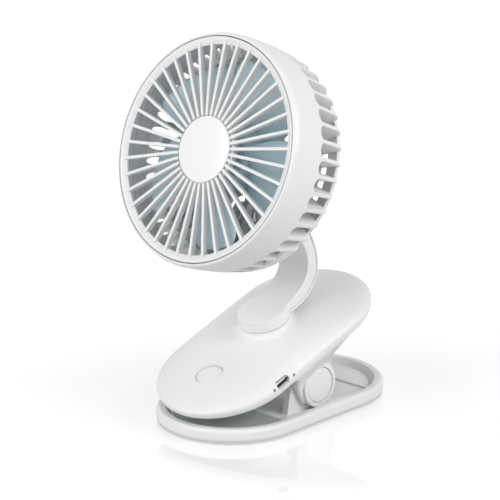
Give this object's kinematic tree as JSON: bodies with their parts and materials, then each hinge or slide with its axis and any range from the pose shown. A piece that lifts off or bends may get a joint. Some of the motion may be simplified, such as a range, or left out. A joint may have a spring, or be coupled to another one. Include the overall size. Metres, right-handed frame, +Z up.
{
  "type": "clip fan",
  "caption": "Clip-on fan: a round finned head tilts on a curved arm that swivels on a spring clip, which opens at the jaw and also stands flat.",
  "frame": {"origin": "middle of the foot pad's underside, on the surface the base stands on", "axes": "+Z up, -Y the way the fan faces, +X the side with the charging socket"},
  "size_m": [0.1186, 0.1396, 0.2022],
  "materials": {
    "shell_white": "satin",
    "disc_white": "gloss",
    "blade_blue": "satin",
    "pad_rubber": "matt",
    "steel": "satin",
    "motor_steel": "satin",
    "bronze": "satin",
    "board_green": "satin",
    "cell_film": "satin",
    "lead_jacket": "matt",
    "light_pipe": "gloss",
    "switch_black": "matt"
  },
  "bodies": {
    "base": {"base_shell": "shell_white", "base_bottom_plate": "shell_white", "foot_pad": "pad_rubber", "lower_jaw_pad": "pad_rubber", "pivot_pin": "steel", "torsion_spring": "steel", "base_screw_1": "steel", "base_screw_2": "steel", "base_screw_3": "steel", "base_screw_4": "steel"},
    "clip": {"clip_top_cover": "shell_white", "clip_bottom_cover": "shell_white", "upper_jaw_pad": "pad_rubber", "pivot_cap_right": "shell_white", "pivot_cap_left": "shell_white", "tact_switch": "switch_black", "circuit_board": "board_green", "battery_cell": "cell_film", "usb_c_socket": "steel", "led_pipe_front": "light_pipe", "led_pipe_rear": "light_pipe", "clip_screw_1": "steel", "clip_screw_2": "steel", "clip_screw_3": "steel", "clip_screw_4": "steel"},
    "button": {"power_button": "shell_white"},
    "arm": {"arm_front_shell": "shell_white", "arm_back_cover": "shell_white", "motor_lead": "lead_jacket", "tilt_pin": "steel", "tilt_pin_cap_right": "shell_white", "tilt_pin_cap_left": "shell_white", "tilt_washer_right": "steel", "tilt_washer_left": "steel", "swivel_washer": "steel", "swivel_screw": "steel"},
    "head": {"head_housing": "shell_white", "front_grille": "shell_white", "grille_hub_disc": "disc_white", "rear_cap": "shell_white", "motor_can": "motor_steel", "front_bearing": "bronze", "rear_bearing": "bronze", "motor_screw_1": "steel", "motor_screw_2": "steel"},
    "rotor": {"impeller": "blade_blue", "motor_shaft": "steel"}
  },
  "joints": [
    {"name": "jaw_hinge", "type": "hinge", "parent": "base", "child": "clip", "pos_m": [0, 0.0048, 0.01625], "axis": [-1, 0, 0], "range_deg": [0, 30], "stiffness_Nm_per_rad": 0.9, "springref_deg": -51.57, "deforming": ["torsion_spring"]},
    {"name": "arm_swivel", "type": "hinge", "parent": "clip", "child": "arm", "pos_m": [0, -0.0056, 0.0479], "axis": [0, -0.3322, 0.9432], "range_deg": [-180, 180]},
    {"name": "head_tilt", "type": "hinge", "parent": "arm", "child": "head", "pos_m": [0, -0.00958, 0.10407], "axis": [-1, 0, 0], "range_deg": [-45, 70]},
    {"name": "button_press", "type": "slide", "parent": "clip", "child": "button", "axis": [0, 0.3322, -0.9432], "range_m": [0, 0.0006], "stiffness_N_per_m": 800, "springref_m": -0.0008},
    {"name": "impeller_spin", "type": "hinge", "parent": "head", "child": "rotor", "pos_m": [0, -0.05063, 0.14719], "axis": [0, -0.943, 0.3328], "continuous": true}
  ]
}
